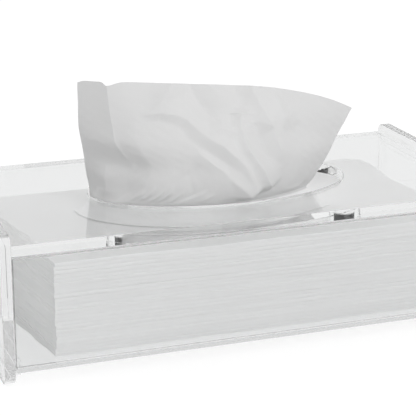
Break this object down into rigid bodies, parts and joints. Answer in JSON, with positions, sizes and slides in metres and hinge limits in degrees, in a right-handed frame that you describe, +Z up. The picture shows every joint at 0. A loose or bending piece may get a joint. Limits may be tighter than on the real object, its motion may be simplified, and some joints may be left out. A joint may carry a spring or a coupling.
{
  "type": "tissue box with drawer",
  "caption": "Clear box with raised end panels and an oval slot in its top plate, a slide-out drawer that holds the tissue pile, and a tissue pulled up through the slot.",
  "frame": {"origin": "on the surface that the end panels stand on, under the middle of the case", "axes": "+Z up, +X along the length to the right as seen from the drawer's side, +Y to the back; the drawer pulls out along -Y"},
  "size_m": [0.25, 0.13, 0.126],
  "materials": {
    "case_acrylic": "polished",
    "drawer_acrylic": "polished",
    "tissue_pile": "matte",
    "tissue": "matte"
  },
  "bodies": {
    "case": {"left_end_panel": "case_acrylic", "right_end_panel": "case_acrylic", "top_plate": "case_acrylic", "back_panel": "case_acrylic", "left_runner": "case_acrylic", "right_runner": "case_acrylic", "tissue_sheet": "tissue"},
    "drawer": {"drawer_floor": "drawer_acrylic", "drawer_front": "drawer_acrylic", "drawer_back": "drawer_acrylic", "tissue_stack": "tissue_pile"}
  },
  "joints": [
    {"name": "drawer_slide", "type": "slide", "parent": "case", "child": "drawer", "axis": [0, -1, 0], "range_m": [0, 0.1]}
  ]
}
